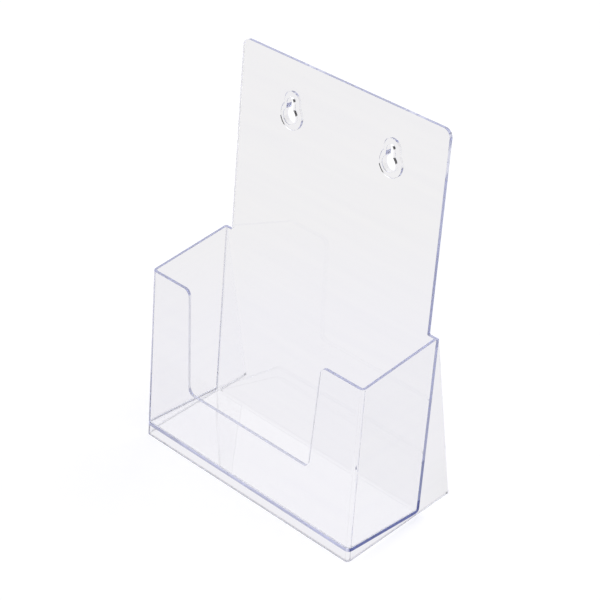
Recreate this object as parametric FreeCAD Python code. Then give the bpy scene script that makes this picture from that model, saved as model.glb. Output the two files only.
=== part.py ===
import FreeCAD, Part
import math
import os

# Clear plastic magazine holder for a counter or a wall.
# Built with the front bottom edge at Y = 0 and the table at Z = 0. X runs to the right, Y to the back.
# The finished pieces are moved so that the origin is the middle of the whole footprint.

# Driving sizes, in millimetres and degrees
outer_width = 230.0          # over the side walls
base_depth = 110.0           # front edge to the feet of the fins
pocket_depth = 74.4          # front edge to the crease between floor and back panel
rim_height = 148.8           # table to rim up the front wall, and crease to rim up the panel
panel_length = 311.5         # up the front of the back panel, from the crease
panel_width = 212.0          # back panel above the rim
panel_angle = 9.5            # back panel, from upright
front_angle = 8.9            # front wall, from upright
floor_angle = 5.6            # floor, from level, falling towards the back
sheet_thickness = 3.0        # back panel and floor
wall_thickness = 2.4         # pocket walls, skirt and fins
front_corner_radius = 4.0    # outside of the two front corners
panel_corner_radius = 6.5    # top corners of the back panel
shoulder_radius = 1.2        # inside corners where the panel narrows
heel_radius = 4.0            # outside of the bend from floor to back panel
heel_clearance = 1.8         # table to the lowest point of the bend
foot_radius = 2.0            # rear foot of a fin
cutout_top_width = 144.0     # opening in the front wall, at the rim
cutout_bottom_width = 134.0
cutout_sill = 59.5           # table to the bottom of the opening, up the front wall
cutout_radius = 5.8          # all four corners of the opening
hanger_spacing = 103.6       # between the two hangers
hanger_drop = 45.6           # top of the panel down to the middle of a keyhole's round part
keyhole_round = 13.2         # diameter of the round part, for a screw head
keyhole_slot = 6.9           # width of the slot above, for its shank
keyhole_rise = 11.2          # middle of the round part to the middle of the slot's end
boss_wall = 4.8              # wall round the keyhole, behind the panel
boss_height = 2.4            # how far that wall stands out behind the panel
rim_radius = 0.4             # rounding of the rims of a keyhole and of the wall round it
glue_line = 0.05             # joint between two pieces that are cemented together


def side_point(y, z):
    return FreeCAD.Vector(0, y, z)


def leaning(degrees):
    """Direction up a surface that leans back from upright."""
    angle = math.radians(degrees)
    return side_point(math.sin(angle), math.cos(angle))


def meet(point, direction, other, other_direction):
    """Point where two lines in the side view cross."""
    crossing = direction.cross(other_direction).x
    travel = (other - point).cross(other_direction).x / crossing
    return point + direction * travel


# Directions in the side view
upright = side_point(0, 1)
backwards = side_point(1, 0)
up_panel = leaning(panel_angle)
behind_panel = leaning(panel_angle + 90)
up_front = leaning(front_angle)
along_floor = leaning(floor_angle + 90)
under_floor = leaning(floor_angle + 180)

# The heel bend sets how high the crease lies over the table
into_bend = (up_panel - along_floor).normalize()
half_bend = up_panel.getAngle(into_bend)
crease_to_heel_axis = into_bend * ((heel_radius - sheet_thickness) / math.sin(half_bend))
crease = side_point(pocket_depth, heel_clearance + heel_radius - crease_to_heel_axis.z)
heel_axis = crease + crease_to_heel_axis

# Points in the side view that several pieces share
front_edge = side_point(0, 0)
rim_front = front_edge + up_front * rim_height
rim_back = crease + up_panel * rim_height
along_rim = (rim_back - rim_front).normalize()
panel_top_back = crease + up_panel * panel_length + behind_panel * sheet_thickness
overall_depth = max(base_depth, panel_top_back.y)
beyond = 2 * (panel_length + base_depth + outer_width)    # past the whole object


def rounded_outline(corners, radii):
    """Closed wire with straight sides, each corner rounded by its own radius (0 leaves it sharp)."""
    edges = []
    runs = []
    for index, (corner, radius) in enumerate(zip(corners, radii)):
        if radius <= 0:
            runs.append((corner, corner))
            continue
        before = (corners[index - 1] - corner).normalize()
        after = (corners[(index + 1) % len(corners)] - corner).normalize()
        middle = (before + after).normalize()
        half = before.getAngle(after) / 2
        start = corner + before * (radius / math.tan(half))
        end = corner + after * (radius / math.tan(half))
        crown = corner + middle * (radius / math.sin(half) - radius)
        edges.append(Part.Arc(start, crown, end).toShape())
        runs.append((start, end))
    for (_, start), (end, _) in zip(runs, runs[1:] + runs[:1]):
        edges.append(Part.LineSegment(start, end).toShape())
    return Part.Wire(Part.sortEdges(edges)[0])


def prism(wire, travel):
    return Part.Face(wire).extrude(travel)


def across(corners, radii, width=beyond):
    """Solid with this side view, centred on the middle plane."""
    half = FreeCAD.Vector(width / 2, 0, 0)
    wire = rounded_outline([corner - half for corner in corners], radii)
    return prism(wire, half * 2)


def front_block(inset):
    """Leaning block inside the front and side faces, with rounded front corners, open to the back."""
    side = outer_width / 2 - inset
    front = inset / up_front.z
    radius = max(front_corner_radius - inset, 0)
    corners = [(-side, front), (side, front), (side, beyond), (-side, beyond)]
    below = up_front * -base_depth
    wire = rounded_outline([FreeCAD.Vector(x, y, 0) + below for x, y in corners], [radius, radius, 0, 0])
    return prism(wire, up_front * beyond)


def on_panel(shape):
    """Place a shape drawn with X across, Y up the panel and Z out of its front face."""
    turn = FreeCAD.Rotation(FreeCAD.Vector(1, 0, 0), 90 - panel_angle)
    return shape.transformed(FreeCAD.Placement(crease, turn).toMatrix())


def above_sheet(offset):
    """Everything above the floor's underside and in front of the panel's back, moved out by an offset."""
    under = crease + under_floor * (sheet_thickness + offset)
    behind = crease + behind_panel * (sheet_thickness + offset)
    heel = meet(under, along_floor, behind, up_panel)
    top = heel + up_panel * beyond
    corners = [heel - along_floor * beyond, heel, top, top - backwards * beyond * 2]
    return across(corners, [0, heel_radius + offset, 0, 0])


def inside_pocket(offset):
    """Everything above the floor and in front of the panel, moved in by an offset."""
    over = crease - under_floor * offset
    before = crease - behind_panel * offset
    corner = meet(over, along_floor, before, up_panel)
    top = corner + up_panel * beyond
    corners = [corner - along_floor * beyond, corner, top, top - backwards * beyond * 2]
    return across(corners, [0, 0, 0, 0])


def keyhole_block(grow, front, back):
    """Block with the outline of the keyhole moved out by grow, between two depths behind the panel's face."""
    radius = keyhole_round / 2 + grow
    half_slot = keyhole_slot / 2 + grow
    neck = math.sqrt(radius**2 - half_slot**2)
    right_neck = FreeCAD.Vector(half_slot, neck, -front)
    left_neck = FreeCAD.Vector(-half_slot, neck, -front)
    right_end = FreeCAD.Vector(half_slot, keyhole_rise, -front)
    left_end = FreeCAD.Vector(-half_slot, keyhole_rise, -front)
    bottom = FreeCAD.Vector(0, -radius, -front)
    top = FreeCAD.Vector(0, keyhole_rise + half_slot, -front)
    edges = [
        Part.Arc(left_neck, bottom, right_neck).toShape(),
        Part.LineSegment(right_neck, right_end).toShape(),
        Part.Arc(right_end, top, left_end).toShape(),
        Part.LineSegment(left_end, left_neck).toShape(),
    ]
    return prism(Part.Wire(edges), FreeCAD.Vector(0, 0, front - back))


def at_hanger(shape, side):
    """Move a shape drawn about a keyhole's round part to the left (-1) or right (1) hanger."""
    placed = shape.translated(FreeCAD.Vector(side * hanger_spacing / 2, panel_length - hanger_drop, 0))
    return on_panel(placed)


def is_front_rim(edge):
    """Whether an edge is part of a keyhole's rim on the front face of the panel."""
    ends = [vertex.Point for vertex in edge.Vertexes]
    within = (hanger_spacing + keyhole_round) / 2 + rim_radius
    on_face = all(abs((end - crease).dot(behind_panel)) < glue_line / 2 for end in ends)
    return on_face and all(abs(end.x) < within for end in ends)


def panel_outline():
    """Block that gives the bent sheet its width and the back panel its shoulders and round corners."""
    wide = outer_width
    narrow = panel_width / 2
    corners = [
        (-wide, -beyond), (wide, -beyond), (wide, rim_height), (narrow, rim_height),
        (narrow, panel_length), (-narrow, panel_length), (-narrow, rim_height), (-wide, rim_height),
    ]
    inner = shoulder_radius
    outer = panel_corner_radius
    radii = [0, 0, 0, inner, outer, outer, inner, 0]
    wire = rounded_outline([FreeCAD.Vector(x, y, -beyond / 2) for x, y in corners], radii)
    return on_panel(prism(wire, FreeCAD.Vector(0, 0, beyond)))


def back_and_floor():
    """One bent sheet: floor, heel bend and back panel, with two keyholes."""
    sheet = above_sheet(0).cut(inside_pocket(0))
    sheet = sheet.common(front_block(0)).common(panel_outline())
    for side in (-1, 1):
        sheet = sheet.cut(at_hanger(keyhole_block(0, -sheet_thickness, 2 * sheet_thickness), side))
    return sheet.makeFillet(rim_radius, [edge for edge in sheet.Edges if is_front_rim(edge)])


def front_opening():
    """Cutter for the opening in the front wall, drawn on the front face and run back along the rim."""
    half_top = cutout_top_width / 2
    half_bottom = cutout_bottom_width / 2
    shoulder = half_top + 2 * cutout_radius
    above = rim_height + 2 * cutout_radius
    corners = [
        (-half_bottom, cutout_sill), (half_bottom, cutout_sill), (half_top, rim_height),
        (shoulder, rim_height), (shoulder, above), (-shoulder, above), (-shoulder, rim_height),
        (-half_top, rim_height),
    ]
    round_corner = cutout_radius
    radii = [round_corner, round_corner, round_corner, 0, 0, 0, 0, round_corner]
    start = front_edge - along_rim * wall_thickness
    wire = rounded_outline([start + FreeCAD.Vector(x, 0, 0) + up_front * up for x, up in corners], radii)
    return prism(wire, along_rim * (wall_thickness * 4))


def pocket_wrap():
    """Left, front and right walls of the pocket in one piece, standing on the floor sheet."""
    below = front_edge - upright * base_depth
    before = rim_front - along_rim * base_depth
    behind = rim_front + along_rim * beyond
    under_rim = across([below, before, behind, behind - upright * beyond], [0, 0, 0, 0])
    walls = front_block(0).cut(front_block(wall_thickness))
    walls = walls.common(inside_pocket(glue_line)).common(under_rim)
    return walls.cut(front_opening())


def base_skirt():
    """Rim under the floor: the front and both sides, down to the table."""
    heel_foot = side_point(heel_axis.y, 0)
    corners = [heel_foot - backwards * base_depth, heel_foot]
    corners += [corner + upright * base_depth for corner in reversed(corners)]
    walls = front_block(0).cut(front_block(wall_thickness))
    return walls.common(across(corners, [0, 0, 0, 0])).cut(above_sheet(glue_line))


def rear_fin(side):
    """Triangular fin behind the panel, in line with the side wall."""
    start = heel_axis.y + glue_line
    tip = rim_back + behind_panel * sheet_thickness
    corners = [side_point(start, 0), side_point(base_depth, 0), tip, side_point(start, crease.z)]
    plate = across(corners, [0, foot_radius, 0, 0], wall_thickness)
    plate.translate(FreeCAD.Vector(side * (outer_width - wall_thickness) / 2, 0, 0))
    return plate.cut(above_sheet(glue_line))


def hanger_boss(side):
    """Wall round a keyhole on the back of the panel, so that a screw head has room."""
    front = sheet_thickness + glue_line
    back = sheet_thickness + boss_height
    wall = keyhole_block(boss_wall, front, back).cut(keyhole_block(0, front, back))
    rims = [edge for edge in wall.Edges if edge.BoundBox.ZMax < rim_radius - back]
    return at_hanger(wall.makeFillet(rim_radius, rims), side)


def save(name, shape):
    """Write one piece with the origin in the middle of the footprint."""
    placed = shape.removeSplitter().translated(FreeCAD.Vector(0, -overall_depth / 2, 0))
    placed.exportStep("parts/" + name + ".step")
    print(name, "solids", len(placed.Solids), "volume", round(placed.Volume, 1))


def main():
    os.makedirs("parts", exist_ok=True)
    save("back_and_floor", back_and_floor())
    save("pocket_wrap", pocket_wrap())
    save("base_skirt", base_skirt())
    for side, name in ((-1, "left"), (1, "right")):
        save(name + "_fin", rear_fin(side))
        save(name + "_hanger", hanger_boss(side))


main()
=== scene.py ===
"""Looks of a clear plastic magazine rack on a white table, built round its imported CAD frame."""

import logging
from dataclasses import dataclass
from enum import Enum
from math import cos, radians, sin
from typing import Any, Callable, Iterable

import bpy
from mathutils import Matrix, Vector


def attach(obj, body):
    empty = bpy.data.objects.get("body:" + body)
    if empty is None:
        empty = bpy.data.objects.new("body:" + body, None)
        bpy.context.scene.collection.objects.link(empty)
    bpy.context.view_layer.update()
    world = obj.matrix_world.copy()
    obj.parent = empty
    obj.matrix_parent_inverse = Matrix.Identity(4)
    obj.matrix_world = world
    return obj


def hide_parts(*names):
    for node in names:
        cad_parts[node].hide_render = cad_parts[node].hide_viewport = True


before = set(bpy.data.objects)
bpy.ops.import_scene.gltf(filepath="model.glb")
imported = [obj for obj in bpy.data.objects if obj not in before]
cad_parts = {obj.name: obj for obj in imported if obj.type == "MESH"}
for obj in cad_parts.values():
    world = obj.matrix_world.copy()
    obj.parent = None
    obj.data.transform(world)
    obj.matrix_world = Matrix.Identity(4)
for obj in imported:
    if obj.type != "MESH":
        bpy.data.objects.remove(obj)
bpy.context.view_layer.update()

log = logging.getLogger("magazine_rack")

# Red, green, blue and alpha in linear light
Colour = tuple[float, float, float, float]
# Cut edge with the socket that finds it
Cut = tuple["CutEdge", bpy.types.NodeSocket]

WHITE = "FFFFFF"
MM = 1000.0                   # millimetres in a metre
MERGE_DISTANCE = 2e-6         # metres between vertices that are one
FLAT_ANGLE = radians(0.5)     # between faces that lie in one plane
SAME_WAY = 0.999              # dot product of two directions that count as one
REACH = 0.2                   # metres, past the sides of the rack and the tops of its walls


class Axis(Enum):
    """Place of each axis among the parts of a direction."""

    X = 0
    Y = 1
    Z = 2


class Ray(Enum):
    """Kinds of ray that the table and the surroundings answer in their own way."""

    CAMERA = "Is Camera Ray"
    DIFFUSE = "Is Diffuse Ray"
    GLOSSY = "Is Glossy Ray"
    TRANSMISSION = "Is Transmission Ray"


def linear(code: str, alpha: float = 1.0) -> Colour:
    """Turn an sRGB hex colour to linear light.

    Args:
        code: Six hex digits, red first.
        alpha: Fourth value of the result.

    Returns:
        Red, green, blue and alpha.
    """
    values = [int(code[place:place + 2], 16) / 255 for place in (0, 2, 4)]
    red, green, blue = (v / 12.92 if v <= 0.04045 else ((v + 0.055) / 1.055) ** 2.4 for v in values)
    return red, green, blue, alpha


def add_node(tree: bpy.types.NodeTree, kind: str, settings: dict[str, Any] | None = None,
             **links: Any) -> bpy.types.Node:
    """Add a node with its settings and links.

    Args:
        tree: Node tree that gets the node.
        kind: Name of the node type, without "ShaderNode".
        settings: Values by socket name or number, or by the name of a node property.
        links: Output sockets by the name of the input they feed, with _ for a space, or in_N for number N.

    Returns:
        The new node.
    """
    node = tree.nodes.new("ShaderNode" + kind)
    for name, value in (settings or {}).items():
        if isinstance(name, str) and hasattr(node, name):
            setattr(node, name, value)
        else:
            node.inputs[name].default_value = value
    for name, socket in links.items():
        place = int(name[3:]) if name.startswith("in_") else name.replace("_", " ")
        tree.links.new(socket, node.inputs[place])
    return node


def select_only(*pieces: bpy.types.Object) -> None:
    """Select objects and nothing else.

    Args:
        pieces: Objects to select, the first of them made active.
    """
    bpy.ops.object.select_all(action="DESELECT")
    for piece in pieces:
        piece.select_set(True)
    bpy.context.view_layer.objects.active = pieces[0]


def select_faces(piece: bpy.types.Object, wanted: Callable[[bpy.types.MeshPolygon], bool]) -> None:
    """Select the faces of a mesh that pass a test, and nothing else of it.

    Args:
        piece: Object whose faces are selected, in object mode.
        wanted: Test of one face, by its place or normal.
    """
    mesh = piece.data
    for part in (mesh.vertices, mesh.edges, mesh.polygons):
        part.foreach_set("select", [False] * len(part))
    for face in mesh.polygons:
        face.select = wanted(face)


def merged_copy(node: str, name: str) -> bpy.types.Object:
    """Copy a CAD node, merge its loose triangles and join those that lie in one plane.

    Args:
        node: Name of the CAD node.
        name: Name of the copy.

    Returns:
        The copy, a closed mesh with large flat faces.
    """
    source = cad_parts[node]
    copy = source.copy()
    copy.data = source.data.copy()
    copy.name = copy.data.name = name
    bpy.context.scene.collection.objects.link(copy)
    copy.hide_render = copy.hide_viewport = False
    select_only(copy)
    bpy.ops.mesh.customdata_custom_splitnormals_clear()
    tidy_faces(copy)
    return copy


def tidy_faces(piece: bpy.types.Object) -> None:
    """Merge the vertices of a mesh that coincide, and its faces that lie in one plane.

    Args:
        piece: Object whose mesh is merged, in object mode.
    """
    select_only(piece)
    bpy.ops.object.mode_set(mode="EDIT")
    bpy.ops.mesh.select_all(action="SELECT")
    bpy.ops.mesh.remove_doubles(threshold=MERGE_DISTANCE)
    bpy.ops.mesh.dissolve_limited(angle_limit=FLAT_ANGLE)
    bpy.ops.object.mode_set(mode="OBJECT")
    bpy.ops.object.shade_flat()


@dataclass(frozen=True)
class Place:
    """Box with a soft rim, the same on the left and the right of the middle plane.

    Attributes:
        middle: Middle of the right-hand box, in metres.
        half: Half of its size along each axis, in metres.
        soft: Width of its rim, in metres.
    """

    middle: tuple[float, float, float]
    half: tuple[float, float, float]
    soft: float = 0.0006

    def share(self, tree: bpy.types.NodeTree, point: bpy.types.NodeSocket) -> bpy.types.NodeSocket:
        """Tell the points in the box from the others.

        Args:
            tree: Node tree of the material.
            point: Socket with the point, its X without a sign.

        Returns:
            Socket with 1 inside the box and 0 past its soft rim.
        """
        off = add_node(tree, "VectorMath", {"operation": "SUBTRACT", 1: self.middle}, in_0=point)
        size = add_node(tree, "VectorMath", {"operation": "ABSOLUTE"}, in_0=off.outputs[0])
        past = add_node(tree, "VectorMath", {"operation": "SUBTRACT", 1: self.half}, in_0=size.outputs[0])
        outside = add_node(tree, "VectorMath", {"operation": "MAXIMUM", 1: (0.0, 0.0, 0.0)}, in_0=past.outputs[0])
        away = add_node(tree, "VectorMath", {"operation": "LENGTH"}, in_0=outside.outputs[0])
        return add_node(tree, "MapRange", {
            "From Min": 0.0, "From Max": self.soft, "To Min": 1.0, "To Max": 0.0},
            Value=away.outputs["Value"]).outputs[0]


@dataclass(frozen=True)
class PaintedShade:
    """Painted shade: a deeper colour painted at a place where the sheet looks darker, such as where light comes a
    long way through it before it leaves.
    """

    colour: str
    place: Place


@dataclass(frozen=True)
class CutEdge:
    """Narrow faces left by the saw, known by the way they face and by their place.

    Attributes:
        axis: Axis that they face along, either way.
        place: Box that they lie in.
        roughness: How matt the saw leaves them.
        frost: Share of the light that they scatter instead of letting it through.
        colour: Colour of the scattered light.
        least: How nearly they face along the axis, from 0 to 1.
    """

    axis: Axis
    place: Place
    roughness: float = 0.15
    frost: float = 0.0
    colour: str = "D9DBF3"
    least: float = 0.5

    def share(self, tree: bpy.types.NodeTree, ways: bpy.types.Node,
              point: bpy.types.NodeSocket) -> bpy.types.NodeSocket:
        """Tell the cut faces from the others.

        Args:
            tree: Node tree of the material.
            ways: Node with the parts of the face's direction, none with a sign.
            point: Socket with the point, its X without a sign.

        Returns:
            Socket with 1 on the cut faces and 0 elsewhere.
        """
        turned = add_node(tree, "Math", {"operation": "GREATER_THAN", 1: self.least},
                          in_0=ways.outputs[self.axis.value])
        return add_node(tree, "Math", {"operation": "MULTIPLY"}, in_0=turned.outputs[0],
                        in_1=self.place.share(tree, point)).outputs[0]


@dataclass(frozen=True)
class FlowLines:
    """Faint level lines that casting leaves in a sheet, and the slow waves of its faces.

    Attributes:
        colour: Colour of a line, just off the sheet's own.
        run: Length of a line, in millimetres.
        gap: Distance between lines, in millimetres.
        fade: Where a line starts and where it is full, on the noise that draws it.
        haze: How matt a line is.
        wave: Length of a wave, in millimetres.
        lift: Height of a wave, in millimetres.
        strength: Share of that height that turns the light.
    """

    colour: str = "FDFDFE"
    run: float = 111.1
    gap: float = 6.667
    fade: tuple[float, float] = (0.3, 0.7)
    haze: float = 0.012
    wave: float = 35.0
    lift: float = 0.4
    strength: float = 0.1

    def streaks(self, tree: bpy.types.NodeTree, where: bpy.types.Node) -> bpy.types.NodeSocket:
        """Draw the flow lines.

        Args:
            tree: Node tree of the material.
            where: Texture coordinates of the sheet.

        Returns:
            Socket that goes from 0 to 1 over the lines.
        """
        level = MM / self.run
        stretched = add_node(tree, "Mapping", {"Scale": (level, level, MM / self.gap)},
                             Vector=where.outputs["Object"])
        noise = add_node(tree, "TexNoise", {"Scale": 1.0, "Detail": 3.0}, Vector=stretched.outputs[0])
        return add_node(tree, "MapRange", {"From Min": self.fade[0], "From Max": self.fade[1]},
                        Value=noise.outputs[0]).outputs[0]

    def relief(self, tree: bpy.types.NodeTree, where: bpy.types.Node) -> bpy.types.NodeSocket:
        """Raise the slow waves.

        Args:
            tree: Node tree of the material.
            where: Texture coordinates of the sheet.

        Returns:
            Socket with the normal that the waves turn.
        """
        waves = add_node(tree, "TexNoise", {"Scale": MM / self.wave, "Detail": 1.0},
                         Vector=where.outputs["Object"])
        return add_node(tree, "Bump", {"Strength": self.strength, "Distance": self.lift / MM},
                        Height=waves.outputs[0]).outputs[0]


@dataclass(frozen=True)
class ClearAcrylic:
    """Clear acrylic sheet, glossy on both faces, its colour seen only where light goes far through it.

    Attributes:
        name: Name of the material.
        edges: Its cut edges.
        painted_shades: Places of painted shade, a deeper colour.
        lines: What casting leaves in it.
        ior: Index of refraction.
        tint: Colour that light takes on in it.
        absorption: How fast light takes on that colour, per metre.
    """

    name: str
    edges: tuple[CutEdge, ...]
    painted_shades: tuple[PaintedShade, ...] = ()
    lines: FlowLines = FlowLines()
    ior: float = 1.52
    tint: str = "9FA8D6"
    absorption: float = 3.0

    def material(self) -> bpy.types.Material:
        """Make the sheet's material.

        Returns:
            The material, with the surface and what the light takes on inside.
        """
        made = bpy.data.materials.new(self.name)
        made.use_nodes = True
        tree = made.node_tree
        tree.nodes.clear()
        where = add_node(tree, "TexCoord")
        parts = add_node(tree, "SeparateXYZ", None, Vector=where.outputs["Object"])
        side = add_node(tree, "Math", {"operation": "ABSOLUTE"}, in_0=parts.outputs["X"])
        point = add_node(tree, "CombineXYZ", None, X=side.outputs[0], Y=parts.outputs["Y"],
                         Z=parts.outputs["Z"]).outputs[0]
        facing = add_node(tree, "VectorMath", {"operation": "ABSOLUTE"}, in_0=where.outputs["Normal"])
        ways = add_node(tree, "SeparateXYZ", None, Vector=facing.outputs[0])
        streaks = self.lines.streaks(tree, where)
        cuts = [(edge, edge.share(tree, ways, point)) for edge in self.edges]
        surface = add_node(tree, "BsdfPrincipled", {
            "IOR": self.ior, "Transmission Weight": 1.0},
            Base_Color=self.colour(tree, streaks, cuts, point), Roughness=self.roughness(tree, streaks, cuts),
            Normal=self.lines.relief(tree, where))
        if any(edge.frost for edge in self.edges):
            tree.links.new(self.clearness(tree, cuts), surface.inputs["Transmission Weight"])
        inside = add_node(tree, "VolumeAbsorption", {
            "Color": linear(self.tint), "Density": self.absorption})
        add_node(tree, "OutputMaterial", Surface=surface.outputs[0], Volume=inside.outputs[0])
        return made

    def colour(self, tree: bpy.types.NodeTree, streaks: bpy.types.NodeSocket, cuts: list[Cut],
               point: bpy.types.NodeSocket) -> bpy.types.NodeSocket:
        """Colour the surface: nearly white, pale blue on frosted edges, deeper where shade is painted.

        Args:
            tree: Node tree of the material.
            streaks: Socket that goes from 0 to 1 over the flow lines.
            cuts: Each cut edge with the socket that finds it.
            point: Socket with the point, its X without a sign.

        Returns:
            Socket with the colour.
        """
        colour = add_node(tree, "MixRGB", {1: linear(WHITE), 2: linear(self.lines.colour)},
                          Fac=streaks).outputs[0]
        for edge, share in cuts:
            if edge.frost:
                colour = add_node(tree, "MixRGB", {2: linear(edge.colour)}, Fac=share, in_1=colour).outputs[0]
        # Painted shade: a deeper colour laid on where the sheet looks darker
        for painted_shade in self.painted_shades:
            colour = add_node(tree, "MixRGB", {2: linear(painted_shade.colour)},
                              Fac=painted_shade.place.share(tree, point), in_1=colour).outputs[0]
        return colour

    def roughness(self, tree: bpy.types.NodeTree, streaks: bpy.types.NodeSocket,
                  cuts: list[Cut]) -> bpy.types.NodeSocket:
        """Give the faces a slight haze along the flow lines, and the cut edges the saw's marks.

        Args:
            tree: Node tree of the material.
            streaks: Socket that goes from 0 to 1 over the flow lines.
            cuts: Each cut edge with the socket that finds it.

        Returns:
            Socket with the roughness.
        """
        rough = add_node(tree, "Math", {"operation": "MULTIPLY", 1: self.lines.haze}, in_0=streaks).outputs[0]
        for edge, share in cuts:
            sawn = add_node(tree, "Math", {"operation": "MULTIPLY", 1: edge.roughness}, in_0=share)
            rough = add_node(tree, "Math", {"operation": "MAXIMUM"}, in_0=rough, in_1=sawn.outputs[0]).outputs[0]
        return rough

    def clearness(self, tree: bpy.types.NodeTree, cuts: list[Cut]) -> bpy.types.NodeSocket:
        """Take from the clear sheet what its frosted edges scatter.

        Args:
            tree: Node tree of the material.
            cuts: Each cut edge with the socket that finds it, at least one of them frosted.

        Returns:
            Socket with 1 on the faces, and less on the frosted edges.
        """
        steps = [add_node(tree, "Math", {"operation": "MULTIPLY_ADD", 1: -edge.frost, 2: 1.0}, in_0=share)
                 for edge, share in cuts if edge.frost]
        for before, after in zip(steps, steps[1:]):
            tree.links.new(before.outputs[0], after.inputs[2])
        return steps[-1].outputs[0]


# Box round the skirt and the fins
EVERYWHERE = Place((0.0, 0.0, 0.0), (REACH, REACH, REACH))

# Bent from cast sheet, its outline sawn and scraped. The edges are soft bands of pale blue; low on the sides and
# along the floor a deep blue is painted on them as shade, for the light that reaches them from all over the sheet.
SHEET = ClearAcrylic("clear_acrylic_cast_sheet_with_scraped_edges", edges=(
    # Sides of the back panel above the rim
    CutEdge(Axis.X, Place((0.110, 0.0, 0.230), (0.006, REACH, 0.085)), frost=0.15, colour="E4E6F6", least=0.2),
    # Sides of the floor, and of the back panel below the rim
    CutEdge(Axis.X, Place((0.115, 0.0, 0.072), (0.003, REACH, 0.072)), frost=0.45, least=0.2),
    # Shoulders, where the back panel narrows
    CutEdge(Axis.Z, Place((0.110, 0.03, 0.150), (0.006, 0.03, 0.010)), frost=0.25),
    # Top of the back panel
    CutEdge(Axis.Z, Place((0.0, 0.06, 0.3116), (REACH, 0.1, 0.002)), frost=0.5, colour="CFD2EE"),
    # Front of the floor
    CutEdge(Axis.Y, Place((0.0, -0.0634, 0.0105), (REACH, 0.0015, 0.0025)), frost=0.5),
), painted_shades=(
    # Painted shade, low on the sides of the back panel
    PaintedShade("A5ACD1", Place((0.115, 0.0, 0.0302), (0.0004, REACH, 0.0178))),
    # Painted shade, deep blue, on the sides of the floor
    PaintedShade("5460A5", Place((0.115, 0.0, 0.0), (0.0004, REACH, 0.0125))),
))

# Folded round the front from one strip. Its rims are frosted and pale blue, the sides of the opening are
# scraped nearly white, the hot bends are faintly hazy, and the cement along its foot scatters what light comes
# down the walls.
POCKET = ClearAcrylic("clear_acrylic_folded_strip_with_frosted_rims", edges=(
    # Rim, with the round corners where it turns down into the opening
    CutEdge(Axis.Z, Place((0.0, 0.0, 0.147), (REACH, REACH, 0.020)), frost=0.5, colour="CFD1EC", least=0.25),
    # Bottom of the opening
    CutEdge(Axis.Z, Place((0.0, 0.0, 0.059), (REACH, REACH, 0.006)), frost=0.5, colour="E6E7F4", least=0.25),
    # Sides of the opening
    CutEdge(Axis.X, Place((0.0, 0.0, 0.100), (0.09, REACH, REACH)), frost=0.6, colour="FAFAFC", least=0.97),
    # Cemented foot
    CutEdge(Axis.Z, Place((0.0, 0.0, 0.0), (REACH, REACH, 0.018)), roughness=0.5),
    # Hot bends at both front corners
    CutEdge(Axis.Y, Place((0.113, -0.054, 0.075), (0.0023, 0.012, 0.075)), roughness=0.1, least=0.15),
))

# Low strip that stands on the table. Its ground foot makes a dull grey line between clear wall and white table.
SKIRT = ClearAcrylic("clear_acrylic_strip_with_ground_foot", edges=(
    # Foot, and the top that is cemented under the floor
    CutEdge(Axis.Z, EVERYWHERE, roughness=0.6),
))

# Plates behind the panel, polished up the rear edge so that it nearly vanishes, ground at the foot. The rounded
# corner that touches the table has dark grey painted on as shade, where it meets the table.
FIN = ClearAcrylic("clear_acrylic_plate_with_polished_rear_edge", edges=(
    # Foot
    CutEdge(Axis.Z, EVERYWHERE, roughness=0.45),
    # Rear edge
    CutEdge(Axis.Y, EVERYWHERE, roughness=0.06),
), painted_shades=(
    # Painted shade, dark grey, on the rounded corner on the table
    PaintedShade("606068", Place((0.1138, 0.0446, 0.0), (0.003, 0.0004, 0.0006), 0.0008)),
))


@dataclass
class BackPanel:
    """Bent sheet of floor and back panel, with the walls of both hangers one with it.

    Attributes:
        finish: What it is made of.
        lean: How far the back panel leans from upright, in degrees.
        bite: How far the walls reach into the sheet, in metres.
        hangers: CAD nodes of the walls.
    """

    finish: ClearAcrylic
    lean: float = 9.5
    bite: float = 0.00025
    hangers: tuple[str, str] = ("left_hanger", "right_hanger")

    def build(self) -> list[bpy.types.Object]:
        """Unite copies of the sheet and of the walls behind its keyholes.

        Returns:
            List with the one piece, which stands for all three nodes.
        """
        behind = Vector((0, cos(radians(self.lean)), -sin(radians(self.lean))))
        panel = merged_copy("back_and_floor", "back_panel")
        for node in self.hangers:
            wall = merged_copy(node, node + "_wall")
            select_faces(wall, lambda face: face.normal.dot(behind) < -SAME_WAY)
            bpy.ops.object.mode_set(mode="EDIT")
            bpy.ops.transform.translate(value=-behind * self.bite)
            bpy.ops.object.mode_set(mode="OBJECT")
            select_only(panel)
            union = panel.modifiers.new("union", "BOOLEAN")
            union.operation = "UNION"
            union.solver = "EXACT"
            union.object = wall
            bpy.ops.object.modifier_apply(modifier=union.name)
            bpy.data.objects.remove(wall)
        tidy_faces(panel)
        return [panel]

    def dress(self, pieces: list[bpy.types.Object]) -> None:
        """Give the piece its finish, attach it to the root, and hide the three nodes that it stands for.

        Args:
            pieces: List with the one piece.
        """
        panel = pieces[0]
        panel.data.materials.clear()
        panel.data.materials.append(self.finish.material())
        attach(panel, "root")
        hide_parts("back_and_floor", *self.hangers)


@dataclass
class GluedWalls:
    """Walls that are cemented to the bent sheet, each with the shape of its CAD node.

    Attributes:
        finish: What they are made of.
        nodes: Their CAD nodes.
    """

    finish: ClearAcrylic
    nodes: tuple[str, ...]

    def build(self) -> list[bpy.types.Object]:
        """Return the walls, as the frame holds them."""
        return [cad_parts[node] for node in self.nodes]

    def dress(self, pieces: list[bpy.types.Object]) -> None:
        """Put one finish on all the walls.

        Args:
            pieces: The walls.
        """
        made = self.finish.material()
        for wall in pieces:
            wall.material_slots[0].material = made


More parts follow.
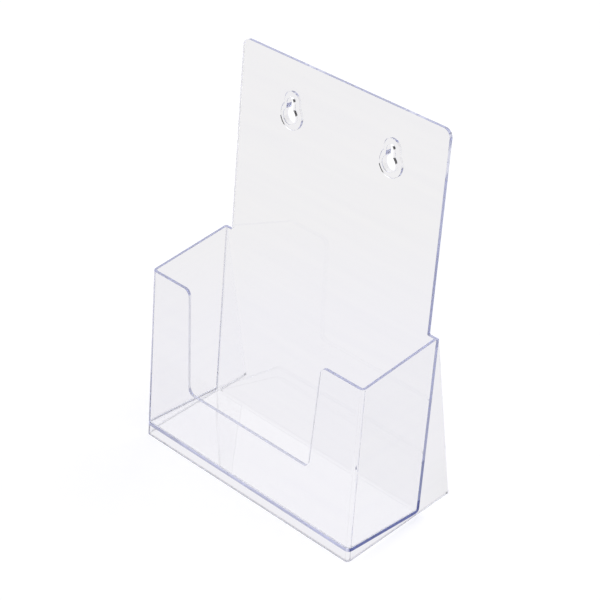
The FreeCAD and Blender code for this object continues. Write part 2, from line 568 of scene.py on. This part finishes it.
@dataclass(frozen=True)
class Lamp:
    """Large soft lamp that faces the object and isn't seen in the plastic.

    Attributes:
        place: Where it hangs, in metres.
        width: Its width and height, in metres.
        power: Its power, in watts.
    """

    place: tuple[float, float, float]
    width: float
    power: float

    def hang(self) -> None:
        """Hang the lamp."""
        light = bpy.data.lights.new("soft_lamp", "AREA")
        light.size = self.width
        light.energy = self.power
        light.use_shadow = False
        holder = bpy.data.objects.new("soft_lamp", light)
        bpy.context.scene.collection.objects.link(holder)
        holder.location = self.place
        holder.rotation_euler = (-Vector(self.place)).to_track_quat("-Z", "Y").to_euler()
        holder.visible_glossy = holder.visible_transmission = False


@dataclass(frozen=True)
class Zone:
    """Part of the sky round one direction.

    Attributes:
        way: Direction of its middle.
        starts: Cosine of the angle from the middle at which it starts.
        full: Cosine of the angle at which it is full.
    """

    way: tuple[float, float, float]
    starts: float
    full: float

    def share(self, tree: bpy.types.NodeTree, way: bpy.types.NodeSocket) -> bpy.types.NodeSocket:
        """Tell the zone from the rest of the sky.

        Args:
            tree: Node tree of the world.
            way: Socket with the direction of view.

        Returns:
            Socket with 1 in the zone and 0 outside it.
        """
        towards = add_node(tree, "VectorMath", {
            "operation": "DOT_PRODUCT", 1: Vector(self.way).normalized()}, in_0=way)
        return add_node(tree, "MapRange", {"From Min": self.starts, "From Max": self.full},
                        Value=towards.outputs["Value"]).outputs[0]


@dataclass(frozen=True)
class TableTop:
    """Matt white table, and how pale the plastic sees it: a little violet near the object, grey far off.

    Attributes:
        size: Length of its sides, in metres.
        below: How far it lies under the object's feet, in metres.
        colour: Its paint.
        roughness: How matt the paint is.
        lift: Glow that brings the lit paint up to white.
        near: Colour that the plastic sees near the object.
        far: Colour that the plastic sees far off.
        near_reach: Distance at which the near colour starts to change, in metres.
        far_reach: Distance at which the far colour is reached, in metres.
        contact: Colour that the plastic sees right under a foot, a painted contact shadow.
        contact_reach: How far from a foot that painted shadow shows, in metres.
        dim: Colour of a painted shade that makes one place dimmer in the plastic.
        dim_place: Middle of that painted shade, in metres.
        dim_full: Radius within which it is fully dim, in metres.
        dim_ends: Radius at which it ends, in metres.
    """

    size: float = 8.0
    below: float = 0.0002
    colour: str = "FAFAFC"
    roughness: float = 0.9
    lift: float = 0.16
    near: str = "F2F1F5"
    far: str = "F2F1F2"
    near_reach: float = 0.20
    far_reach: float = 0.34
    contact: str = "AAA8AD"
    contact_reach: float = 0.0013
    dim: str = "E7E7E7"
    dim_place: tuple[float, float, float] = (0.20, 0.10, 0.0)
    dim_full: float = 0.07
    dim_ends: float = 0.13

    def build(self) -> None:
        """Lay the table's top just under the object's feet."""
        bpy.ops.object.select_all(action="DESELECT")
        bpy.ops.mesh.primitive_plane_add(size=self.size, location=(0, 0, -self.below))
        table = bpy.context.object
        table.name = "table_top"
        bpy.ops.object.transform_apply(location=True)
        table.data.materials.append(self.material())

    def material(self) -> bpy.types.Material:
        """Make the table's material.

        Returns:
            The material, lit and shadowed to the camera, an even pale to the plastic but for painted shade near the
            object.
        """
        made = bpy.data.materials.new("matt_white_painted_table")
        made.use_nodes = True
        tree = made.node_tree
        tree.nodes.clear()
        ray = add_node(tree, "LightPath")
        lift = add_node(tree, "Math", {"operation": "MULTIPLY", 1: self.lift}, in_0=ray.outputs[Ray.CAMERA.value])
        lit = add_node(tree, "BsdfPrincipled", {
            "Base Color": linear(self.colour), "Roughness": self.roughness, "Specular IOR Level": 0.0,
            "Emission Color": linear(WHITE)}, Emission_Strength=lift.outputs[0])
        even = add_node(tree, "Emission", {"Strength": 1.0}, Color=self.seen_in_plastic(tree))
        plastic = add_node(tree, "Math", {"operation": "MAXIMUM"}, in_0=ray.outputs[Ray.GLOSSY.value],
                           in_1=ray.outputs[Ray.TRANSMISSION.value])
        mix = add_node(tree, "MixShader", None, in_0=plastic.outputs[0], in_1=lit.outputs[0], in_2=even.outputs[0])
        add_node(tree, "OutputMaterial", Surface=mix.outputs[0])
        return made

    def seen_in_plastic(self, tree: bpy.types.NodeTree) -> bpy.types.NodeSocket:
        """Colour the table as it shows in and through the plastic, with a painted contact shadow and a painted
        shade.

        Args:
            tree: Node tree of the table's material.

        Returns:
            Socket with the colour.
        """
        where = add_node(tree, "TexCoord").outputs["Object"]
        away = add_node(tree, "VectorMath", {"operation": "LENGTH"}, in_0=where)
        far = add_node(tree, "MapRange", {"From Min": self.near_reach, "From Max": self.far_reach},
                       Value=away.outputs["Value"])
        plain = add_node(tree, "MixRGB", {1: linear(self.near), 2: linear(self.far)}, Fac=far.outputs[0])
        # Painted contact shadow: the table turns darker in the plastic where the object's feet are close by
        closeness = add_node(tree, "AmbientOcclusion", {"Distance": self.contact_reach})
        touched = add_node(tree, "MixRGB", {1: linear(self.contact), 2: linear(WHITE)}, Fac=closeness.outputs["AO"])
        shaded = add_node(tree, "MixRGB", {"blend_type": "MULTIPLY", 0: 1.0},
                          in_1=plain.outputs[0], in_2=touched.outputs[0])
        # Painted shade: one place to the right of and behind the object is dimmer in the plastic
        from_dim = add_node(tree, "VectorMath", {"operation": "DISTANCE", 1: self.dim_place}, in_0=where)
        dim = add_node(tree, "MapRange", {
            "From Min": self.dim_full, "From Max": self.dim_ends, "To Min": 1.0, "To Max": 0.0},
            Value=from_dim.outputs["Value"])
        return add_node(tree, "MixRGB", {2: linear(self.dim)}, Fac=dim.outputs[0], in_1=shaded.outputs[0]).outputs[0]


@dataclass(frozen=True)
class Surroundings:
    """Plain pale light all round, with a soft box to the left and an unlit place behind on the right.

    Attributes:
        pale: Colour of the light.
        unlit: Where the unlit place is.
        unlit_share: What share of the light is left there.
        soft_box: Where the soft box is.
        soft_box_gain: How much light it adds.
        open_light: Strength of the even light on matt surfaces.
    """

    pale: str = "F0F0F1"
    unlit: Zone = Zone((0.61, 0.705, 0.36), 0.79, 0.89)
    unlit_share: float = 0.012
    soft_box: Zone = Zone((-0.61, 0.55, 0.57), 0.80, 0.95)
    soft_box_gain: float = 0.50
    open_light: float = 1.03

    def build(self) -> None:
        """Make the world: white to the camera, pale to the object."""
        world = bpy.data.worlds.new("surroundings")
        bpy.context.scene.world = world
        world.use_nodes = True
        tree = world.node_tree
        tree.nodes.clear()
        ray = add_node(tree, "LightPath")
        way = add_node(tree, "TexCoord").outputs["Generated"]
        kept = add_node(tree, "Mix", {2: 1.0, 3: self.unlit_share}, in_0=self.unlit.share(tree, way))
        gain = add_node(tree, "Math", {"operation": "MULTIPLY", 1: self.soft_box_gain},
                        in_0=self.soft_box.share(tree, way))
        share = add_node(tree, "Math", {"operation": "ADD"}, in_0=kept.outputs[0], in_1=gain.outputs[0])
        spread = add_node(tree, "Mix", {3: self.open_light}, in_0=ray.outputs[Ray.DIFFUSE.value],
                          in_2=share.outputs[0])
        around = add_node(tree, "Background", {"Color": linear(self.pale)}, Strength=spread.outputs[0])
        seen = add_node(tree, "Background", {"Color": linear(WHITE), "Strength": 1.0})
        mix = add_node(tree, "MixShader", None, in_0=ray.outputs[Ray.CAMERA.value],
                       in_1=around.outputs[0], in_2=seen.outputs[0])
        add_node(tree, "OutputWorld", Surface=mix.outputs[0])


@dataclass(frozen=True)
class Camera:
    """Camera above the front right corner, looking down at the rack.

    Attributes:
        place: Where it stands, in metres.
        turn: How it is turned about X, Y and Z, in degrees.
        lens: Focal length, in millimetres.
        sensor: Width of the sensor, in millimetres.
    """

    place: tuple[float, float, float] = (0.9801, -0.8760, 1.0617)
    turn: tuple[float, float, float] = (55.2331, 2.7450, 46.0697)
    lens: float = 127.64
    sensor: float = 36.0

    def build(self) -> None:
        """Make the camera and let the scene look through it."""
        data = bpy.data.cameras.new("camera")
        data.lens = self.lens
        data.sensor_width = self.sensor
        camera = bpy.data.objects.new("camera", data)
        bpy.context.scene.collection.objects.link(camera)
        camera.location = self.place
        camera.rotation_euler = [radians(angle) for angle in self.turn]
        bpy.context.scene.camera = camera


@dataclass(frozen=True)
class Studio:
    """All that stands round the rack, and how often light may turn before it is given up.

    Attributes:
        table: What the rack stands on.
        surroundings: Light all round.
        lamps: Soft lamps.
        camera: Where the rack is seen from.
        bounces: How often light may cross or reflect inside the sheets.
        diffuse_bounces: How often it may leave a matt surface.
    """

    table: TableTop = TableTop()
    surroundings: Surroundings = Surroundings()
    lamps: tuple[Lamp, ...] = (Lamp((-1.6, -1.8, 2.2), 1.6, 3.0), Lamp((1.9, -1.4, 2.4), 1.4, 2.0))
    camera: Camera = Camera()
    bounces: int = 256
    diffuse_bounces: int = 4

    def build(self) -> None:
        """Build the studio."""
        bpy.context.scene.view_settings.view_transform = "Standard"
        self.let_light_through()
        self.table.build()
        self.surroundings.build()
        for lamp in self.lamps:
            lamp.hang()
        self.camera.build()

    def let_light_through(self) -> None:
        """Let light cross and reflect inside the sheets many times before it is given up, and never blur it."""
        cycles = bpy.context.scene.cycles
        cycles.max_bounces = cycles.transmission_bounces = cycles.glossy_bounces = self.bounces
        cycles.diffuse_bounces = self.diffuse_bounces
        cycles.blur_glossy = 0.0


def report(pieces: Iterable[bpy.types.Object]) -> None:
    """Log each piece with its number of faces and its size in millimetres.

    Args:
        pieces: Pieces to log.
    """
    for piece in pieces:
        size = " x ".join(f"{MM * side:.1f}" for side in piece.dimensions)
        log.info("%s: %d faces, %s mm", piece.name, len(piece.data.polygons), size)


def main() -> None:
    """Build the studio and the rack, and report each piece."""
    logging.basicConfig(level=logging.INFO, format="%(name)s: %(message)s")
    Studio().build()
    for part in (BackPanel(SHEET), GluedWalls(POCKET, ("pocket_wrap",)), GluedWalls(SKIRT, ("base_skirt",)),
                 GluedWalls(FIN, ("left_fin", "right_fin"))):
        pieces = part.build()
        part.dress(pieces)
        report(pieces)


if __name__ == "__main__":
    main()
